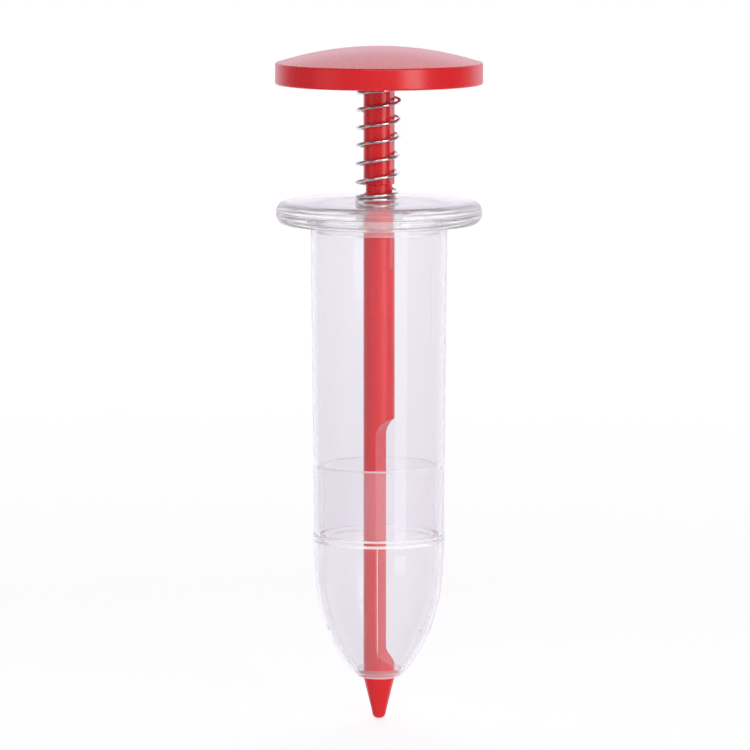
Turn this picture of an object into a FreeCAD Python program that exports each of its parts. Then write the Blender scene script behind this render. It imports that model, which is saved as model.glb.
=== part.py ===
import FreeCAD, Part
import math, os

# Hand seed sower, plunger type. Millimetres, +Z up, standing on its dibber tip.
# Origin: centre of the tip's lowest point, on the tool's own axis.
V = FreeCAD.Vector

# ---------------------------------------------------------------- driving dimensions
# Levels along the axis
Z_TOP = 150.1            # apex of the domed thumb button
Z_CREASE = 146.4         # edge between dome and rim
Z_RIM = 141.9            # lower edge of the rim
Z_HUB = 141.6            # hub face that the spring bears on
Z_STEM = 119.6           # lower end of the button's stem
Z_SHOULDER = 117.7       # rod shoulder under the neck
Z_LID = 115.8            # top of the lid, where the spring stands
Z_SEAM = 113.3           # joint plane of lid and barrel flange
Z_FLANGE = 110.8         # underside of the finger flange
Z_SKIRT = 109.0          # lower end of the lid's plug skirt and guide boss
Z_LAND = 106.3           # end of the barrel's parallel land
Z_SPIGOT = 57.2          # top of the nose's inner spigot
Z_JOIN = 41.8            # joint plane of barrel and nose
Z_OGIVE = 33.25          # where the nose starts to close in
Z_STEP = 21.0            # small step inside the nose wall
Z_FUNNEL = 10.9          # foot of the funnel, top of the outlet bore
Z_OUTLET = 9.4           # outlet rim

# Button
KNOB_R = 22.95
KNOB_WALL = 1.8
HUB_R = 5.2
STEM_R = 3.45
FLAT_D = 3.08            # distance of the shallow guide flat from the axis
FLAT_LOW = 101.0         # lower end of the guide flat, a stop inside the lid
FLAT_AZ = -20.0          # direction that both flats face, degrees from +X
SOCKET_R = 2.00
SOCKET_DEEP = 11.7

# Rod
ROD_R = 3.45
NECK_R = 2.95
SPIGOT_R = 1.95
SPIGOT_LONG = 11.2
GROOVE_D = 0.43          # distance of the groove floor from the axis
GROOVE_TOP = 63.4        # full depth below this level
GROOVE_TOP_ARC = 4.3
GROOVE_LOW = 16.4        # full depth above this level
GROOVE_END = 12.6
CONE_TOP = 9.2
CONE_LOW = 1.24
CONE_LOW_R = 1.50

# Lid and barrel
DISC_R = 22.85
DISC_FLAT_R = 20.8       # flat part of the discs, inside their rounded edges
SKIRT_R = 13.85
SKIRT_IN_R = 12.65
BOSS_R = 4.9
GUIDE_R = 3.53           # D-shaped guide bore
GUIDE_FLAT = 3.16
BARREL_TOP_R = 15.13
BARREL_LOW_R = 14.42
BORE_TOP_R = 13.93
BORE_LOW_R = 13.25

# Nose
NOSE_R = 14.59
OGIVE_R = 14.25
OGIVE_LONG = 26.05
OGIVE_POW = 1.7
NOSE_SPIGOT_GAP = 0.05
NOSE_SPIGOT_IN_TOP = 12.35
NOSE_SPIGOT_IN_LOW = 12.25
NOSE_INNER_R = 12.10
OUTLET_RIM_R = 4.47
OUTLET_R = 3.55

# Spring
WIRE = 0.75
COIL_R = 4.60
END_PITCH = 0.90
BOTTOM_TURNS = 1.30
ACTIVE_TURNS = 6.0

# ---------------------------------------------------------------- helpers
def pt(p):
    return V(p[0], 0, p[1])


def face_from(start, segs):
    """Closed face in the XZ plane. Segments: ("L", p), ("A", mid, end), ("S", [points])."""
    edges, here = [], start
    for s in segs:
        if s[0] == "L":
            edges.append(Part.LineSegment(pt(here), pt(s[1])).toShape())
            here = s[1]
        elif s[0] == "A":
            edges.append(Part.Arc(pt(here), pt(s[1]), pt(s[2])).toShape())
            here = s[2]
        else:
            c = Part.BSplineCurve()
            c.interpolate([pt(here)] + [pt(p) for p in s[1]])
            edges.append(c.toShape())
            here = s[1][-1]
    if math.hypot(here[0] - start[0], here[1] - start[1]) > 1e-6:
        edges.append(Part.LineSegment(pt(here), pt(start)).toShape())
    return Part.Face(Part.Wire(edges))


def revolve(start, segs):
    return face_from(start, segs).revolve(V(0, 0, 0), V(0, 0, 1), 360)


def corner(p, r, a0, a1):
    """Mid and end of a small edge round centred on p, from angle a0 to a1 in degrees."""
    m = math.radians((a0 + a1) / 2)
    e = math.radians(a1)
    return ("A", (p[0] + r * math.cos(m), p[1] + r * math.sin(m)),
            (p[0] + r * math.cos(e), p[1] + r * math.sin(e)))


def quarter(cr, cz, ar, az, up):
    """Points of a quarter ellipse from its outer end to its flat end."""
    n = 8
    out = []
    for i in range(1, n + 1):
        t = math.pi / 2 * i / n
        out.append((cr + ar * math.cos(t), cz + (az if up else -az) * math.sin(t)))
    return out


def slab(d, z0, z1):
    """Everything beyond the plane at distance d from the axis, between two levels."""
    b = Part.makeBox(20, 40, z1 - z0, V(d, -20, z0))
    b.rotate(V(0, 0, 0), V(0, 0, 1), FLAT_AZ)
    return b


def one(s):
    return s.Solids[0] if len(s.Solids) == 1 else s


parts = {}

# ---------------------------------------------------------------- thumb button
rise = Z_TOP - Z_CREASE
dome = (KNOB_R ** 2 + rise ** 2) / (2 * rise)
zc = Z_TOP - dome
er = 0.35                                     # small round along the dome's edge
r1 = KNOB_R - er * 1.1
z1 = zc + math.sqrt(dome ** 2 - r1 ** 2)
inner = dome - KNOB_WALL
r_in = KNOB_R - KNOB_WALL


def dome_z(radius, r):
    return zc + math.sqrt(radius ** 2 - r ** 2)


knob = revolve((0, Z_TOP), [
    ("A", (r1 / 2, dome_z(dome, r1 / 2)), (r1, z1)),
    ("A", (KNOB_R - 0.11, z1 - 0.14), (KNOB_R, z1 - er)),
    ("L", (KNOB_R, Z_RIM + 0.6)),
    corner((KNOB_R - 0.6, Z_RIM + 0.6), 0.6, 0, -90),
    ("L", (r_in + 0.25, Z_RIM)),
    corner((r_in + 0.25, Z_RIM + 0.25), 0.25, -90, -180),
    ("L", (r_in - 0.15, dome_z(inner, r_in) - 0.5)),
    ("A", (r_in - 0.32, dome_z(inner, r_in) - 0.10), (r_in - 0.75, dome_z(inner, r_in - 0.75))),
    ("A", ((r_in + HUB_R) / 2, dome_z(inner, (r_in + HUB_R) / 2)),
     (HUB_R + 0.8, dome_z(inner, HUB_R + 0.8))),
    ("A", (HUB_R + 0.23, dome_z(inner, HUB_R + 0.8) - 0.23), (HUB_R, dome_z(inner, HUB_R + 0.8) - 0.8)),
    ("L", (HUB_R, Z_HUB + 0.25)),
    ("L", (HUB_R - 0.25, Z_HUB)),
    ("L", (STEM_R, Z_HUB)),
    ("L", (STEM_R, Z_STEM + 0.3)),
    ("L", (STEM_R - 0.3, Z_STEM)),
    ("L", (0, Z_STEM)),
])
knob = knob.cut(slab(FLAT_D, Z_STEM - 1, Z_HUB))
knob = knob.cut(Part.makeCylinder(SOCKET_R, SOCKET_DEEP, V(0, 0, Z_STEM)))
parts["thumb_knob"] = one(knob)

# ---------------------------------------------------------------- plunger rod
slope = (ROD_R - CONE_LOW_R) / (CONE_TOP - CONE_LOW)
rod = revolve((0, Z_STEM + SPIGOT_LONG), [
    ("L", (SPIGOT_R - 0.3, Z_STEM + SPIGOT_LONG)),
    ("L", (SPIGOT_R, Z_STEM + SPIGOT_LONG - 0.3)),
    ("L", (SPIGOT_R, Z_STEM)),
    ("L", (NECK_R, Z_STEM)),
    ("L", (NECK_R, Z_SHOULDER)),
    ("L", (ROD_R - 0.25, Z_SHOULDER)),
    ("L", (ROD_R, Z_SHOULDER - 0.25)),
    ("L", (ROD_R, CONE_TOP)),
    ("L", (CONE_LOW_R, CONE_LOW)),
    ("A", (1.12, 0.30), (0.50, 0)),
    ("L", (0, 0)),
])
rod = rod.cut(slab(FLAT_D, FLAT_LOW, Z_SHOULDER + 1))
d, R = GROOVE_D, GROOVE_TOP_ARC
out = ROD_R + 1.2
top_h = math.sqrt(R * R - (R - (out - d)) ** 2) if out - d < R else R
groove = face_from((d, GROOVE_LOW), [
    ("L", (d, GROOVE_TOP)),
    ("A", (d + R * (1 - math.cos(math.asin(top_h / R) / 2)), GROOVE_TOP + R * math.sin(math.asin(top_h / R) / 2)),
     (out, GROOVE_TOP + top_h)),
    ("L", (out + 4, GROOVE_TOP + top_h)),
    ("L", (out + 4, GROOVE_END - 1.2)),
    ("L", (out, GROOVE_END - 1.2)),
    ("L", (d + 1.25, GROOVE_LOW - 2.25)),
    ("A", (d + 0.35, GROOVE_LOW - 1.15), (d, GROOVE_LOW)),
]).extrude(V(0, 20, 0))
groove.translate(V(0, -10, 0))
groove.rotate(V(0, 0, 0), V(0, 0, 1), FLAT_AZ)
rod = rod.cut(groove)
parts["plunger_rod"] = one(rod)

# ---------------------------------------------------------------- filler lid
nr = 0.15                                     # small round either side of the joint line
lid = revolve((0, Z_LID), [
    ("L", (DISC_FLAT_R, Z_LID)),
    ("S", list(reversed(quarter(DISC_FLAT_R, Z_SEAM + nr, DISC_R - DISC_FLAT_R, Z_LID - Z_SEAM - nr, True)[:-1]))
     + [(DISC_R, Z_SEAM + nr)]),
    ("L", (DISC_R - nr, Z_SEAM)),
    ("L", (SKIRT_R, Z_SEAM)),
    ("L", (SKIRT_R, Z_SKIRT + 0.35)),
    ("L", (SKIRT_R - 0.25, Z_SKIRT)),
    ("L", (SKIRT_IN_R, Z_SKIRT)),
    ("L", (SKIRT_IN_R, Z_SEAM)),
    ("L", (BOSS_R, Z_SEAM)),
    ("L", (BOSS_R, Z_SKIRT)),
    ("L", (0, Z_SKIRT)),
])
guide = Part.makeCylinder(GUIDE_R, Z_LID - Z_SKIRT + 2, V(0, 0, Z_SKIRT - 1))
guide = guide.cut(slab(GUIDE_FLAT, Z_SKIRT - 2, Z_LID + 2))
lid = lid.cut(guide)
parts["filler_lid"] = one(lid)

# ---------------------------------------------------------------- seed barrel
barrel = revolve((BORE_TOP_R, Z_SEAM), [
    ("L", (DISC_R - nr, Z_SEAM)),
    ("L", (DISC_R, Z_SEAM - nr)),
    ("S", quarter(DISC_FLAT_R, Z_SEAM - nr, DISC_R - DISC_FLAT_R, Z_SEAM - nr - Z_FLANGE, False)),
    ("L", (BARREL_TOP_R + 0.3, Z_FLANGE)),
    corner((BARREL_TOP_R + 0.3, Z_FLANGE - 0.3), 0.3, 90, 180),
    ("L", (BARREL_TOP_R, Z_LAND)),
    ("L", (BARREL_LOW_R, Z_JOIN + 0.25)),
    ("L", (BARREL_LOW_R - 0.25, Z_JOIN)),
    ("L", (BORE_LOW_R, Z_JOIN)),
    ("L", (BORE_TOP_R, Z_LAND + 0.7)),
])
parts["seed_barrel"] = one(barrel)


# ---------------------------------------------------------------- nose cone
def ogive(z):
    t = (Z_OGIVE - z) / OGIVE_LONG
    return OGIVE_R * (1 - max(t, 0) ** OGIVE_POW) ** (1 / OGIVE_POW)


def bore(z):
    return BORE_LOW_R + (BORE_TOP_R - BORE_LOW_R) * (z - Z_JOIN) / (Z_LAND + 0.7 - Z_JOIN)


outer_pts = [(NOSE_R - 0.09, 39.2), (NOSE_R - 0.20, 36.2), (NOSE_R - 0.37, 32.4)]
outer_pts += [(ogive(z), z) for z in (29.3, 25.7, 22.1, 18.4, 15.4, 13.0, 11.2)]
outer_pts += [(OUTLET_RIM_R + 0.08, Z_OUTLET + 0.12)]
inner_low = [(4.25, 11.15), (5.35, 12.3), (6.75, 14.3), (8.50, 17.5), (10.02, Z_STEP)]
inner_up = [(11.05, 24.0), (11.75, 27.5), (NOSE_INNER_R, 33.0)]
gap = NOSE_SPIGOT_GAP
nose = revolve((NOSE_SPIGOT_IN_TOP, Z_SPIGOT), [
    ("L", (bore(Z_SPIGOT) - gap - 0.25, Z_SPIGOT)),
    ("L", (bore(Z_SPIGOT) - gap, Z_SPIGOT - 0.25)),
    ("L", (BORE_LOW_R - gap, Z_JOIN)),
    ("L", (NOSE_R - 0.28, Z_JOIN)),
    ("A", (NOSE_R - 0.08, Z_JOIN - 0.08), (NOSE_R, Z_JOIN - 0.28)),
    ("S", outer_pts),
    ("L", (OUTLET_RIM_R - 0.10, Z_OUTLET)),
    ("L", (OUTLET_R, Z_OUTLET)),
    ("L", (OUTLET_R, Z_FUNNEL)),
    ("S", inner_low),
    ("L", (10.16, Z_STEP + 0.12)),
    ("S", inner_up),
    ("L", (NOSE_SPIGOT_IN_LOW, Z_JOIN)),
])
parts["nose_cone"] = one(nose)


# ---------------------------------------------------------------- return spring
# Right-handed, with closed end coils. The pitch eases from the end coils into the active ones.
TOP_TURNS = 0.85
EASE = 50.0              # degrees either side over which the pitch changes
z_a = Z_LID + WIRE / 2 + 0.02
z_d = Z_HUB - WIRE / 2 - 0.02
pitch = (z_d - z_a - END_PITCH * (BOTTOM_TURNS + TOP_TURNS)) / ACTIVE_TURNS
start = -90.0 - 360 * BOTTOM_TURNS     # the closed bottom coil ends facing -Y
turn0, turn1 = 360 * BOTTOM_TURNS, 360 * (BOTTOM_TURNS + ACTIVE_TURNS)


def smooth(x):
    x = max(0.0, min(1.0, x))
    return x * x * (3 - 2 * x)


def pitch_at(th):
    return END_PITCH + (pitch - END_PITCH) * (smooth((th - turn0 + EASE) / (2 * EASE))
                                              - smooth((th - turn1 + EASE) / (2 * EASE)))


step = 5.0
count = int(round((turn1 + 360 * TOP_TURNS) / step))
levels = [z_a]
for i in range(count):
    levels.append(levels[-1] + pitch_at((i + 0.5) * step) * step / 360)
line = Part.BSplineCurve()
line.interpolate([V(COIL_R * math.cos(math.radians(start + i * step)),
                    COIL_R * math.sin(math.radians(start + i * step)), levels[i])
                  for i in range(0, count + 1, 4)])
a0 = math.radians(start)
first = V(COIL_R * math.cos(a0), COIL_R * math.sin(a0), z_a)
along = V(-math.sin(a0), math.cos(a0), END_PITCH / (2 * math.pi * COIL_R))
section = Part.Wire([Part.Circle(first, along, WIRE / 2).toShape()])
spring = Part.Wire([line.toShape()]).makePipeShell([section], True, True)
parts["return_spring"] = one(spring)

# ---------------------------------------------------------------- output
os.makedirs("parts", exist_ok=True)
for name in ("thumb_knob", "plunger_rod", "return_spring", "filler_lid", "seed_barrel", "nose_cone"):
    s = parts[name]
    print(name, s.ShapeType, "solids", len(s.Solids), "valid", s.isValid(), "vol", round(s.Volume, 2),
          "z", round(s.BoundBox.ZMin, 3), round(s.BoundBox.ZMax, 3), "r", round(s.BoundBox.XMax, 3))
    s.exportStep("parts/%s.step" % name)
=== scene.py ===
import math
import bpy
import bmesh
import numpy as np
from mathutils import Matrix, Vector


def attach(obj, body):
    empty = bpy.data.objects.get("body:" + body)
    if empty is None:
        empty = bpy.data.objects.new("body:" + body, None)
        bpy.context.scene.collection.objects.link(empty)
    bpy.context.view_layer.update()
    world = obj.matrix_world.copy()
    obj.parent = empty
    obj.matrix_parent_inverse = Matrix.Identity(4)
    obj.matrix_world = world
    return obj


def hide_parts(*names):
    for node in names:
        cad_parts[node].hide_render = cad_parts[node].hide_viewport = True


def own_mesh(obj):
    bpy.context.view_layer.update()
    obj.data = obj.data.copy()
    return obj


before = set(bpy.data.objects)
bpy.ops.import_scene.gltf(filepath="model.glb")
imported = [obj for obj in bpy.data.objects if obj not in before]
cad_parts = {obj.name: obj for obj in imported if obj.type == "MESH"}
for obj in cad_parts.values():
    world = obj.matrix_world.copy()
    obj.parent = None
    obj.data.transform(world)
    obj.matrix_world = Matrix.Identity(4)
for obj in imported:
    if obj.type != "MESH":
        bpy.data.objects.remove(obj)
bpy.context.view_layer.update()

MM = 0.001
FLAT_AZ = math.radians(-20.0)      # both flats of the plunger face this way
FRONT = math.radians(-90.0)


# ------------------------------------------------------------------ profile helpers (mm)
def arc(c, r, a0, a1, n=6, ry=None):
    """Points of an arc from a0 to a1 degrees; ry makes it an ellipse."""
    ry = r if ry is None else ry
    return [(c[0] + r * math.cos(math.radians(a0 + (a1 - a0) * i / n)),
             c[1] + ry * math.sin(math.radians(a0 + (a1 - a0) * i / n))) for i in range(n + 1)]


def line(p, q, n=1):
    return [(p[0] + (q[0] - p[0]) * i / n, p[1] + (q[1] - p[1]) * i / n) for i in range(n + 1)]


def spline(points, n):
    """Natural cubic spline through points, sampled n times."""
    p = np.array(points, float)
    t = np.concatenate([[0], np.cumsum(np.hypot(*np.diff(p, axis=0).T))])
    m = len(p)
    h = np.diff(t)
    a = np.zeros((m, m))
    b = np.zeros((m, 2))
    a[0, 0] = a[-1, -1] = 1
    for i in range(1, m - 1):
        a[i, i - 1], a[i, i], a[i, i + 1] = h[i - 1], 2 * (h[i - 1] + h[i]), h[i]
        b[i] = 6 * ((p[i + 1] - p[i]) / h[i] - (p[i] - p[i - 1]) / h[i - 1])
    k = np.linalg.solve(a, b)
    out = []
    for s in np.linspace(0, t[-1], n + 1):
        i = min(max(int(np.searchsorted(t, s)) - 1, 0), m - 2)
        u, v, w = t[i + 1] - s, s - t[i], h[i]
        q = (k[i] * u ** 3 + k[i + 1] * v ** 3) / (6 * w) + (p[i] / w - k[i] * w / 6) * u + (p[i + 1] / w - k[i + 1] * w / 6) * v
        out.append((float(q[0]), float(q[1])))
    return out


def joined(*runs):
    out = []
    for run in runs:
        for p in run:
            if not out or math.hypot(p[0] - out[-1][0], p[1] - out[-1][1]) > 1e-5:
                out.append(p)
    return out


# ------------------------------------------------------------------ mesh helpers
def finish_mesh(name, bm, sharp=32.0):
    bmesh.ops.remove_doubles(bm, verts=bm.verts, dist=2e-7)
    bmesh.ops.dissolve_degenerate(bm, edges=bm.edges, dist=1e-7)
    bmesh.ops.recalc_face_normals(bm, faces=bm.faces)
    me = bpy.data.meshes.new(name)
    bm.to_mesh(me)
    bm.free()
    for p in me.polygons:
        p.use_smooth = True
    me.set_sharp_from_angle(angle=math.radians(sharp))
    obj = bpy.data.objects.new(name, me)
    bpy.context.scene.collection.objects.link(obj)
    return obj


def angles(segs, extra=()):
    """Even angles round the axis, with a few exact ones put in."""
    base = [2 * math.pi * i / segs for i in range(segs)]
    tau = 2 * math.pi
    for e in extra:
        e %= tau
        j = min(range(len(base)), key=lambda i: min(abs(base[i] - e), tau - abs(base[i] - e)))
        if min(abs(base[j] - e), tau - abs(base[j] - e)) < math.pi / segs:
            base[j] = e
        else:
            base.append(e)
    return sorted(a % tau for a in base)


def lathe(name, prof, th, closed=False, radius=None, sharp=32.0):
    """Turns a profile of (r, z) about the axis. radius(i, r, z, angle) may change one point's radius."""
    bm = bmesh.new()
    rings = []
    for i, (r, z) in enumerate(prof):
        if r < 1e-6:
            rings.append([bm.verts.new((0, 0, z * MM))])
        else:
            rings.append([bm.verts.new((math.cos(a) * rr * MM, math.sin(a) * rr * MM, z * MM))
                          for a in th for rr in [radius(i, r, z, a) if radius else r]])
    n = len(th)
    pairs = list(zip(rings, rings[1:])) + ([(rings[-1], rings[0])] if closed else [])
    for a, b in pairs:
        for j in range(n):
            k = (j + 1) % n
            q = [a[j % len(a)], a[k % len(a)], b[k % len(b)], b[j % len(b)]]
            u = []
            for v in q:
                if v not in u:
                    u.append(v)
            if len(u) > 2:
                bm.faces.new(u)
    return finish_mesh(name, bm, sharp)


def loft(name, levels, n_arc=150, n_flat=24, caps=(True, True), sharp=28.0):
    """Stacks round sections with one flat: levels are (z, radius, distance of the flat from the axis)."""
    bm = bmesh.new()
    rings = []
    for z, r, d in levels:
        half = math.acos(min(1.0, d / r)) if r > 1e-6 else 0.0
        ring = []
        a0, a1 = FLAT_AZ + half, FLAT_AZ + 2 * math.pi - half
        for i in range(n_arc):
            a = a0 + (a1 - a0) * i / n_arc
            ring.append((r * math.cos(a), r * math.sin(a)))
        w = r * math.sin(half)
        dd = r * math.cos(half)
        for i in range(n_flat):
            s = -w + 2 * w * i / n_flat
            ring.append((dd * math.cos(FLAT_AZ) - s * math.sin(FLAT_AZ), dd * math.sin(FLAT_AZ) + s * math.cos(FLAT_AZ)))
        rings.append([bm.verts.new((x * MM, y * MM, z * MM)) for x, y in ring])
    n = n_arc + n_flat
    for a, b in zip(rings, rings[1:]):
        for j in range(n):
            k = (j + 1) % n
            bm.faces.new((a[j], a[k], b[k], b[j]))
    if caps[0]:
        bm.faces.new(rings[0])
    if caps[1]:
        bm.faces.new(rings[-1])
    return finish_mesh(name, bm, sharp)


# ------------------------------------------------------------------ materials
def new_material(name):
    m = bpy.data.materials.new(name)
    m.use_nodes = True
    nt = m.node_tree
    return m, nt, nt.nodes["Principled BSDF"]


def noise(nt, scale, detail=2.0, rough=0.5, stretch=None):
    """Noise over the object's own coordinates; scale is in features per metre."""
    co = nt.nodes.new("ShaderNodeTexCoord")
    mp = nt.nodes.new("ShaderNodeMapping")
    nt.links.new(co.outputs["Object"], mp.inputs["Vector"])
    if stretch:
        mp.inputs["Scale"].default_value = stretch
    nz = nt.nodes.new("ShaderNodeTexNoise")
    nz.inputs["Scale"].default_value = scale
    nz.inputs["Detail"].default_value = detail
    nz.inputs["Roughness"].default_value = rough
    nt.links.new(mp.outputs["Vector"], nz.inputs["Vector"])
    return nz


def ramp(nt, src, lo, hi, a=0.3, b=0.7):
    mr = nt.nodes.new("ShaderNodeMapRange")
    mr.inputs["From Min"].default_value = a
    mr.inputs["From Max"].default_value = b
    mr.inputs["To Min"].default_value = lo
    mr.inputs["To Max"].default_value = hi
    nt.links.new(src, mr.inputs["Value"])
    return mr.outputs["Result"]


def bump(nt, src, distance, strength=1.0, under=None):
    bp = nt.nodes.new("ShaderNodeBump")
    bp.inputs["Distance"].default_value = distance
    bp.inputs["Strength"].default_value = strength
    nt.links.new(src, bp.inputs["Height"])
    if under is not None:
        nt.links.new(under, bp.inputs["Normal"])
    return bp.outputs["Normal"]


def mix_color(nt, fac, a, b):
    mx = nt.nodes.new("ShaderNodeMix")
    mx.data_type = "RGBA"
    mx.inputs["A"].default_value = (*a, 1)
    mx.inputs["B"].default_value = (*b, 1)
    nt.links.new(fac, mx.inputs["Factor"])
    return mx.outputs["Result"]


def red_plastic(name, dark, light, peel, peel_scale, rough_lo, rough_hi):
    m, nt, bs = new_material(name)
    cloud = noise(nt, 90, 3.0)
    nt.links.new(mix_color(nt, ramp(nt, cloud.outputs["Fac"], 0, 1), dark, light), bs.inputs["Base Color"])
    fine = noise(nt, 1500, 2.0)
    nt.links.new(ramp(nt, fine.outputs["Fac"], rough_lo, rough_hi), bs.inputs["Roughness"])
    big = noise(nt, peel_scale, 1.5, 0.45)
    n1 = bump(nt, big.outputs["Fac"], peel)
    nt.links.new(bump(nt, fine.outputs["Fac"], peel * 0.03, 1.0, n1), bs.inputs["Normal"])
    bs.inputs["IOR"].default_value = 1.49
    return m


def clear_plastic(name, tint, rough_lo, rough_hi, wave, see=0.96, ior=1.49, shine=0.35):
    m, nt, bs = new_material(name)
    bs.inputs["Base Color"].default_value = (*tint, 1)
    bs.inputs["Transmission Weight"].default_value = see
    bs.inputs["IOR"].default_value = ior
    bs.inputs["Specular Tint"].default_value = (shine, shine, shine, 1)
    haze = noise(nt, 260, 3.0)
    nt.links.new(ramp(nt, haze.outputs["Fac"], rough_lo, rough_hi), bs.inputs["Roughness"])
    flow = noise(nt, 75, 1.0, 0.4, (1.0, 1.0, 0.35))
    nt.links.new(bump(nt, flow.outputs["Fac"], wave), bs.inputs["Normal"])
    return m


def spring_steel(name):
    m, nt, bs = new_material(name)
    bs.inputs["Metallic"].default_value = 1.0
    grain = noise(nt, 2600, 2.0, 0.5, (0.35, 0.35, 2.2))
    nt.links.new(mix_color(nt, ramp(nt, grain.outputs["Fac"], 0, 1), (0.56, 0.54, 0.55), (0.74, 0.72, 0.72)), bs.inputs["Base Color"])
    nt.links.new(ramp(nt, grain.outputs["Fac"], 0.14, 0.26), bs.inputs["Roughness"])
    nt.links.new(bump(nt, grain.outputs["Fac"], 0.000006), bs.inputs["Normal"])
    return m


# knob and rod are the same red plastic; the rod's copy is lighter as painted light, standing in for how brightly the
# rod is lit inside the barrel next to the shaded stem
knob_mat = red_plastic("knob_red", (0.650, 0.0085, 0.0125), (0.700, 0.0115, 0.0155), 0.000008, 520, 0.26, 0.29)
rod_mat = red_plastic("rod_red", (0.690, 0.0085, 0.0140), (0.745, 0.0115, 0.0175), 0.00001, 600, 0.29, 0.36)
clear_lid = clear_plastic("lid_clear", (0.974, 0.975, 0.980), 0.02, 0.05, 0.000012, 0.905)
clear_barrel = clear_plastic("barrel_clear", (0.815, 0.795, 0.840), 0.02, 0.06, 0.000012, 0.988)
clear_bore = clear_plastic("barrel_bore", (0.990, 0.985, 0.995), 0.02, 0.06, 0.000012, 0.988)
clear_flange = clear_plastic("flange_clear", (0.968, 0.969, 0.975), 0.02, 0.06, 0.000012, 0.905)
clear_nose = clear_plastic("nose_clear", (0.845, 0.823, 0.865), 0.02, 0.06, 0.000015, 0.955)
clear_cavity = clear_plastic("nose_cavity", (0.990, 0.985, 0.995), 0.02, 0.06, 0.000015, 0.955)
clear_spigot = clear_plastic("nose_spigot", (0.985, 0.978, 0.992), 0.04, 0.09, 0.00001, 0.925, 1.006)
clear_outlet = clear_plastic("nose_outlet", (0.955, 0.935, 0.965), 0.10, 0.20, 0.00003, 0.72, 1.20)
# painted highlight: a hazy whitish finish for thin seam bands, standing in for the bright reflections along the seam
# rings
seam_highlight_paint = clear_plastic("seam_painted_highlight", (0.975, 0.965, 0.985), 0.30, 0.45, 0.00003, 0.35, 1.20)
steel = spring_steel("spring_wire")


def finish_piece(obj, mat, body, node):
    obj.data.materials.append(mat)
    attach(obj, body)
    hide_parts(node)
    return obj


# ------------------------------------------------------------------ thumb button
KNOB_R, Z_TOP, Z_CREASE, Z_RIM, Z_HUB, Z_STEM = 22.95, 150.08, 146.4, 141.75, 141.6, 119.6
dome = (KNOB_R ** 2 + (Z_TOP - Z_CREASE) ** 2) / (2 * (Z_TOP - Z_CREASE))
zc = Z_TOP - dome


def dome_at(r, radius=dome):
    return zc + math.sqrt(radius * radius - r * r)


wall = 1.8
ri = KNOB_R - wall
shell = joined(
    [(r, dome_at(r)) for r in np.linspace(0, KNOB_R - 0.55, 60)],
    arc((KNOB_R - 0.50, dome_at(KNOB_R - 0.55) - 0.48), 0.50, 72, 0, 12)[1:],
    line((KNOB_R, dome_at(KNOB_R - 0.55) - 0.52), (KNOB_R, Z_RIM + 0.45), 6),
    arc((KNOB_R - 0.45, Z_RIM + 0.45), 0.45, 0, -90, 8),
    arc((ri + 0.3, Z_RIM + 0.3), 0.3, -90, -180, 5),
    arc((ri - 0.7, dome_at(ri - 0.7, dome - wall) - 0.75), 0.7, 0, 80, 6),
    [(r, dome_at(r, dome - wall)) for r in np.linspace(ri - 0.9, 6.2, 24)],
    arc((6.1, dome_at(6.1, dome - wall) - 0.9), 0.9, 90, 180, 6),
    line((5.2, 146.0), (5.2, Z_HUB + 0.3), 3),
    arc((4.9, Z_HUB + 0.3), 0.3, 0, -90, 4),
    [(3.2, Z_HUB)],
)
# The shell ends in a ring inside the stem; the stem is a section with the guide flat.
cap = lathe("knob_cap", shell + [(0, Z_HUB)], angles(288), sharp=40.0)
stem_levels = [(Z_HUB + 0.2, 3.45, 3.08)] + [(z, 3.45, 3.08) for z in np.linspace(Z_HUB, Z_STEM + 0.3, 30)]
stem_levels += [(Z_STEM + 0.3 - 0.3 * math.sin(t), 3.15 + 0.3 * math.cos(t), 3.08 - 0.12 * (1 - math.cos(t))) for t in np.linspace(0.2, math.pi / 2, 6)]
stem = loft("knob_stem", stem_levels)
for o in (stem,):
    bm = bmesh.new()
    bm.from_mesh(cap.data)
    bm.from_mesh(o.data)
    bm.to_mesh(cap.data)
    bm.free()
    bpy.data.objects.remove(o)
cap.name = "thumb_button"
cap.data.set_sharp_from_angle(angle=math.radians(35))
finish_piece(cap, knob_mat, "plunger", "thumb_knob")

# ------------------------------------------------------------------ plunger rod
def groove_distance(z):
    """Distance of the rod's flat from the axis at level z: the seed groove with its two ramps."""
    d, top, low, rr = 0.43, 63.4, 16.4, 4.3
    if z >= top:
        h = z - top
        return d + (rr - math.sqrt(rr * rr - h * h)) if h < rr * 0.95 else 9.0
    if z >= low:
        return d
    h = low - z                              # concave foot, then a straight ramp
    if h < 1.5:
        return d + 0.30 * h * h / 1.5 * 1.0
    return d + 0.45 + (h - 1.5) * 1.05


levels = []
for t in np.linspace(0.02, math.pi / 2, 9):  # rounded point
    levels.append((1.24 * (1 - math.cos(t)), 0.42 + 1.09 * math.sin(t), 9.0))
for z in np.linspace(1.5, 9.1, 14):
    levels.append((z, 1.50 + (z - 1.24) * (3.45 - 1.50) / (9.2 - 1.24), 9.0))
levels.append((9.2, 3.45, 9.0))
zs = list(np.linspace(9.5, 12.2, 4)) + list(np.linspace(12.4, 17.2, 33)) + list(np.linspace(18, 63, 46)) + list(np.linspace(63.4, 68.2, 33)) + list(np.linspace(70, 100.9, 16))
for z in zs:
    levels.append((z, 3.45, groove_distance(z)))
levels += [(100.98, 3.45, 9.0), (101.0, 3.45, 3.08)]
levels += [(z, 3.45, 3.08) for z in np.linspace(101.3, 117.4, 14)]
levels += [(117.7 - 0.25 * (1 - math.sin(t)), 3.20 + 0.25 * math.cos(t), min(3.08, 3.20 + 0.25 * math.cos(t))) for t in np.linspace(0.2, math.pi / 2, 5)]
levels += [(117.7, 2.97, 9.0), (117.75, 2.93, 9.0), (119.6, 2.93, 9.0), (119.62, 1.95, 9.0), (130.4, 1.95, 9.0), (130.8, 1.6, 9.0)]
rod = loft("seed_rod", levels, n_arc=132, n_flat=36)
finish_piece(rod, rod_mat, "plunger", "plunger_rod")

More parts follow.
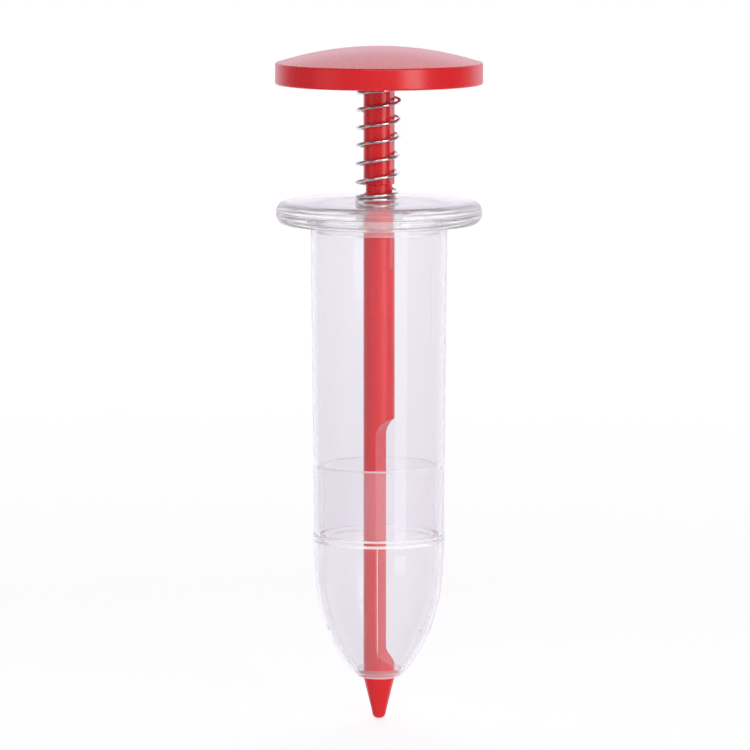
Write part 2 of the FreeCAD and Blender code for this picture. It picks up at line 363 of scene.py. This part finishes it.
# ------------------------------------------------------------------ filler lid
TH = angles(320)
hf = math.acos(3.16 / 3.53)
TH_D = angles(320, (FLAT_AZ + hf, FLAT_AZ - hf))


def d_bore(a):
    da = (a - FLAT_AZ + math.pi) % (2 * math.pi) - math.pi
    return min(3.53, 3.16 / math.cos(da)) if abs(da) < 1.2 else 3.53


lid_prof = joined(
    [(3.53, 109.25), (3.53, 115.60)],
    arc((3.73, 115.60), 0.20, 180, 90, 4),
    line((3.93, 115.80), (20.8, 115.80), 12),
    arc((20.8, 113.49), 2.05, 90, 0, 20, ry=2.31),
    arc((22.70, 113.49), 0.15, 0, -90, 4),
    line((22.70, 113.34), (14.0, 113.34), 6),
    [(13.85, 113.34)],
    line((13.85, 113.2), (13.85, 109.35), 4),
    arc((13.55, 109.30), 0.30, 0, -90, 4),
    arc((12.95, 109.30), 0.30, -90, -180, 4),
    line((12.65, 109.4), (12.65, 113.0), 3),
    arc((12.35, 113.0), 0.30, 0, 90, 4),
    line((12.0, 113.30), (5.3, 113.30), 6),
    arc((5.2, 113.0), 0.30, 90, 180, 4),
    line((4.90, 112.9), (4.90, 109.3), 3),
    arc((4.65, 109.25), 0.25, 0, -90, 4),
    [(3.73, 109.0)],
    arc((3.73, 109.2), 0.20, -90, -180, 4),
)


def lid_radius(i, r, z, a):
    return r + d_bore(a) - 3.53 if r < 4.0 else r


lid = lathe("lid", lid_prof, TH_D, closed=True, radius=lid_radius)
finish_piece(lid, clear_lid, "lid", "filler_lid")
lid.visible_shadow = False


# ------------------------------------------------------------------ seed barrel
def parting(width, height, where):
    """A fine raised moulding line: adds height to the outer radius near these angles."""
    def f(a, r):
        add = 0.0
        for w in where:
            da = (a - w + math.pi) % (2 * math.pi) - math.pi
            add += height * math.exp(-(da * r / width) ** 2 * 2)
        return add
    return f


def parting_angles(segs, where, half, count):
    extra = []
    for w in where:
        extra += [w + half * i / count for i in range(-count, count + 1)]
    tau = 2 * math.pi
    base = [2 * math.pi * i / segs for i in range(segs)]
    keep = [b for b in base if all(abs((b - w + math.pi) % tau - math.pi) > half * 1.15 for w in where)]
    return sorted([k % tau for k in keep] + [e % tau for e in extra])


barrel_prof = joined(
    [(13.93, 107.0), (13.93, 113.06)],
    arc((14.13, 113.06), 0.20, 180, 90, 4),
    line((14.4, 113.26), (22.70, 113.26), 6),
    arc((22.70, 113.11), 0.15, 90, 0, 4),
    arc((20.8, 113.11), 2.05, 0, -90, 20, ry=2.31),
    line((20.7, 110.80), (15.75, 110.80), 4),
    arc((15.63, 110.30), 0.50, 90, 180, 6),
    line((15.13, 110.2), (15.13, 106.3), 4),
    line((15.10, 103.0), (14.42, 42.2), 40),
    arc((14.28, 41.97), 0.14, 0, -90, 4),
    line((14.2, 41.83), (13.33, 41.83), 2),
    arc((13.33, 41.91), 0.08, -90, -180, 3),
    line((13.25, 42.2), (13.93, 107.0), 40),
)[:-1]
barrel_where = (FRONT + math.radians(50.8), FRONT + math.radians(230.8))
barrel_ridge = parting(0.16, 0.035, barrel_where)


def barrel_radius(i, r, z, a):
    return r + barrel_ridge(a, r) if r > 14.3 and 42.3 < z < 110.0 else r


barrel = lathe("barrel", barrel_prof, parting_angles(320, barrel_where, math.radians(2.6), 9), closed=True, radius=barrel_radius)
finish_piece(barrel, clear_barrel, "barrel", "seed_barrel")
barrel.data.materials.append(clear_flange)       # the moulded flange is a little hazier than the wall
barrel.data.materials.append(clear_bore)
for p in barrel.data.polygons:
    if math.hypot(p.center.x, p.center.y) / MM > 15.2:
        p.material_index = 1
    elif p.normal.x * p.center.x + p.normal.y * p.center.y < 0:
        p.material_index = 2
barrel.visible_shadow = False

# ------------------------------------------------------------------ nose cone
def ogive(z):
    t = max((33.25 - z) / 26.05, 0)
    return 14.25 * (1 - t ** 1.7) ** (1 / 1.7)


def bore(z):
    return 13.25 + 0.68 * (z - 41.8) / (107.0 - 41.8)


outer = [(14.59, 41.71), (14.585, 41.3), (14.565, 40.6), (14.555, 40.2), (14.50, 39.2), (14.39, 36.2), (14.22, 32.4)]
outer += [(ogive(z), z) for z in (29.3, 25.7, 22.1, 18.4, 15.4, 13.0, 11.2)] + [(4.55, 9.52)]
inner_low = [(3.55, 10.9), (4.25, 11.15), (5.35, 12.3), (6.75, 14.3), (8.50, 17.5), (10.00, 20.95)]
inner_up = [(10.11, 21.15), (11.05, 24.0), (11.75, 27.5), (12.10, 33.0), (12.25, 41.8)]
nose_outer_run = spline(outer, 110)
nose_prof = joined(
    [(12.25, 41.8), (12.35, 57.05)],
    arc((12.50, 57.05), 0.15, 180, 90, 3),
    arc((bore(57.2) - 0.19, 56.95), 0.25, 90, 0, 4),
    [(13.29, 42.0), (13.32, 41.85), (14.45, 41.85)],
    arc((14.45, 41.71), 0.14, 90, 0, 4),
    nose_outer_run,
    arc((4.40, 9.53), 0.13, 0, -90, 3),
    arc((3.67, 9.52), 0.12, -90, -180, 3),
    line((3.55, 9.7), (3.55, 10.8), 3),
    spline(inner_low, 40),
    spline(inner_up, 50),
)[:-1]
line_where = (FRONT + math.radians(-1.2), FRONT + math.radians(178.8))
half = math.radians(2.6)
TH_N = parting_angles(320, line_where, half, 9)
ridge = parting(0.14, 0.065, line_where)
outer_set = set((round(r, 4), round(z, 4)) for r, z in nose_outer_run)


def nose_radius(i, r, z, a):
    if (round(r, 4), round(z, 4)) in outer_set and z < 41.4:
        return r + ridge(a, r) * min(1.0, (41.4 - z) / 1.0)
    return r


nose = lathe("nose", nose_prof, TH_N, closed=True, radius=nose_radius)
finish_piece(nose, clear_nose, "barrel", "nose_cone")
for extra in (clear_spigot, clear_outlet, seam_highlight_paint, clear_cavity):
    nose.data.materials.append(extra)
for p in nose.data.polygons:
    z, r = p.center.z / MM, math.hypot(p.center.x, p.center.y) / MM
    # the spigot's top rim and two thin seam rings get the painted-highlight material: whitish bands painted where
    # the seam reflects the studio
    if z > 56.45 or 41.55 < z < 41.84 and r > 14.3 or 40.15 < z < 40.65 and r > 14.0:
        p.material_index = 3
    elif z > 41.9 or z > 41.84 and r < 14.4:
        p.material_index = 1
    elif z < 12.0 and r < 5.1 or z < 9.6:
        p.material_index = 2
    elif p.normal.x * p.center.x + p.normal.y * p.center.y < 0:
        p.material_index = 4
nose.visible_shadow = False

# ------------------------------------------------------------------ return spring
WIRE_R, COIL_R = 0.375, 4.60
fronts = [(0.0, 116.47), (1.0, 117.36), (2.0, 121.2), (3.0, 125.15), (4.0, 129.3), (5.0, 133.05), (6.0, 137.1), (7.0, 140.45)]
knots = [(-0.30, 116.20)] + fronts + [(7.55, 141.20)]
kt = np.array(knots)
lvl = np.array(spline([(k[0] * 6, k[1]) for k in knots], 600))
turn_of, z_of = lvl[:, 0] / 6, lvl[:, 1]
bm = bmesh.new()
steps, sides = 7.85 * 60, 18
rings = []
count = int(steps)
for i in range(count + 1):
    t = -0.30 + 7.85 * i / count
    a = FRONT + 2 * math.pi * t
    z = float(np.interp(t, turn_of, z_of))
    z = min(max(z, 116.195), 141.215)
    dz = float(np.interp(t + 0.01, turn_of, z_of) - np.interp(t - 0.01, turn_of, z_of)) / 0.02
    lean = -0.50 * (1 - (z - 115.8) / 25.8)
    c = Vector((COIL_R * math.cos(a) + lean, COIL_R * math.sin(a), z))
    tan = Vector((-math.sin(a) * 2 * math.pi * COIL_R, math.cos(a) * 2 * math.pi * COIL_R, dz)).normalized()
    out = Vector((math.cos(a), math.sin(a), 0))
    up = tan.cross(out).normalized()
    ring = []
    for s in range(sides):
        b = 2 * math.pi * s / sides
        ring.append(bm.verts.new((c + WIRE_R * (math.cos(b) * out + math.sin(b) * up)) * MM))
    rings.append(ring)
for p, q in zip(rings, rings[1:]):
    for s in range(sides):
        bm.faces.new((p[s], p[(s + 1) % sides], q[(s + 1) % sides], q[s]))
bm.faces.new(rings[0])
bm.faces.new(rings[-1])
spring = finish_mesh("spring", bm, 45)
finish_piece(spring, steel, "lid", "return_spring")
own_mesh(spring)

# ------------------------------------------------------------------ floor
bm = bmesh.new()
bmesh.ops.create_circle(bm, cap_ends=True, segments=96, radius=9.0)
me = bpy.data.meshes.new("floor")
bm.to_mesh(me)
bm.free()
floor = bpy.data.objects.new("floor", me)
bpy.context.scene.collection.objects.link(floor)
m, nt, bs = new_material("floor_paper")
bs.inputs["Base Color"].default_value = (0.45, 0.455, 0.445, 1)
bs.inputs["Roughness"].default_value = 0.9
bs.inputs["Specular IOR Level"].default_value = 0.1
bs.inputs["Emission Color"].default_value = (1.0, 1.0, 1.0, 1)
spot = nt.nodes.new("ShaderNodeTexCoord")
away = nt.nodes.new("ShaderNodeVectorMath")
away.operation = "LENGTH"
nt.links.new(spot.outputs["Object"], away.inputs[0])
nt.links.new(ramp(nt, away.outputs["Value"], 0.678, 0.790, 0.2, 1.1), bs.inputs["Emission Strength"])
tooth = noise(nt, 900, 3.0)
nt.links.new(bump(nt, tooth.outputs["Fac"], 0.00002), bs.inputs["Normal"])
me.materials.append(m)
floor.visible_glossy = False        # the part mirrors the studio, not the table top

# ------------------------------------------------------------------ light
world = bpy.data.worlds.new("studio")
bpy.context.scene.world = world
world.use_nodes = True
wn = world.node_tree
bg = wn.nodes["Background"]
co = wn.nodes.new("ShaderNodeTexCoord")
lean = wn.nodes.new("ShaderNodeVectorMath")
lean.operation = "DOT_PRODUCT"
lean.inputs[1].default_value = (0.08, 1.0, 0.0)
wn.links.new(co.outputs["Generated"], lean.inputs[0])
mr = wn.nodes.new("ShaderNodeMapRange")
mr.interpolation_type = "SMOOTHSTEP"
mr.inputs["From Min"].default_value = 0.15
mr.inputs["From Max"].default_value = 0.98
mr.inputs["To Min"].default_value = 0.20
mr.inputs["To Max"].default_value = 1.48
wn.links.new(lean.outputs["Value"], mr.inputs["Value"])
sep = wn.nodes.new("ShaderNodeSeparateXYZ")      # the far wall is darker near the table
wn.links.new(co.outputs["Generated"], sep.inputs["Vector"])
low = wn.nodes.new("ShaderNodeMapRange")
low.interpolation_type = "SMOOTHSTEP"
low.inputs["From Min"].default_value = 0.09
low.inputs["From Max"].default_value = 0.22
low.inputs["To Min"].default_value = 0.38
low.inputs["To Max"].default_value = 0.0
wn.links.new(sep.outputs["Z"], low.inputs["Value"])
far = wn.nodes.new("ShaderNodeMapRange")
far.interpolation_type = "SMOOTHSTEP"
far.inputs["From Min"].default_value = 0.80
far.inputs["From Max"].default_value = 0.97
wn.links.new(lean.outputs["Value"], far.inputs["Value"])
dip = wn.nodes.new("ShaderNodeMath")
dip.operation = "MULTIPLY"
wn.links.new(low.outputs["Result"], dip.inputs[0])
wn.links.new(far.outputs["Result"], dip.inputs[1])
keep = wn.nodes.new("ShaderNodeMath")
keep.operation = "SUBTRACT"
keep.inputs[0].default_value = 1.0
wn.links.new(dip.outputs["Value"], keep.inputs[1])
both = wn.nodes.new("ShaderNodeMath")
both.operation = "MULTIPLY"
wn.links.new(mr.outputs["Result"], both.inputs[0])
wn.links.new(keep.outputs["Value"], both.inputs[1])
wn.links.new(both.outputs["Value"], bg.inputs["Strength"])
bg.inputs["Color"].default_value = (1.0, 0.955, 1.06, 1)


def softbox(name, az, el, dist, w, h, power, target=(0, 0, 0.10)):
    """az is degrees from the camera's side, to the right; el is degrees up."""
    a, e = math.radians(az), math.radians(el)
    d = Vector((math.sin(a) * math.cos(e), -math.cos(a) * math.cos(e), math.sin(e)))
    light = bpy.data.lights.new(name, "AREA")
    light.shape = "RECTANGLE"
    light.size, light.size_y = w, h
    light.energy = power
    o = bpy.data.objects.new(name, light)
    o.location = Vector(target) + d * dist
    o.rotation_euler = (-d).to_track_quat("-Z", "Y").to_euler()
    bpy.context.scene.collection.objects.link(o)
    return o


softbox("key_right", 38, 5, 1.10, 0.42, 0.86, 5.0)
softbox("fill_left", -60, 8, 1.10, 0.55, 0.90, 0.8)
softbox("front_high", 6, 29, 1.20, 0.90, 0.50, 3.6)
softbox("back_high", 180, 46, 1.30, 1.10, 0.55, 1.5)

# ------------------------------------------------------------------ camera
cam = bpy.data.cameras.new("camera")
cam.lens = 276.5
cam.sensor_width = 36.0
cam.clip_start = 0.05
cam.clip_end = 60
co = bpy.data.objects.new("camera", cam)
co.location = (-0.0009, -1.270, 0.2263)
aim = Vector((-0.0009, 0, 0.0771)) - Vector(co.location)
co.rotation_euler = aim.to_track_quat("-Z", "Y").to_euler()
bpy.context.scene.collection.objects.link(co)
bpy.context.scene.camera = co
bpy.context.scene.view_settings.view_transform = "Standard"
# light runs far along the clear rims before it comes out
bpy.context.scene.cycles.max_bounces = 24
bpy.context.scene.cycles.glossy_bounces = 16
bpy.context.scene.cycles.transmission_bounces = 24
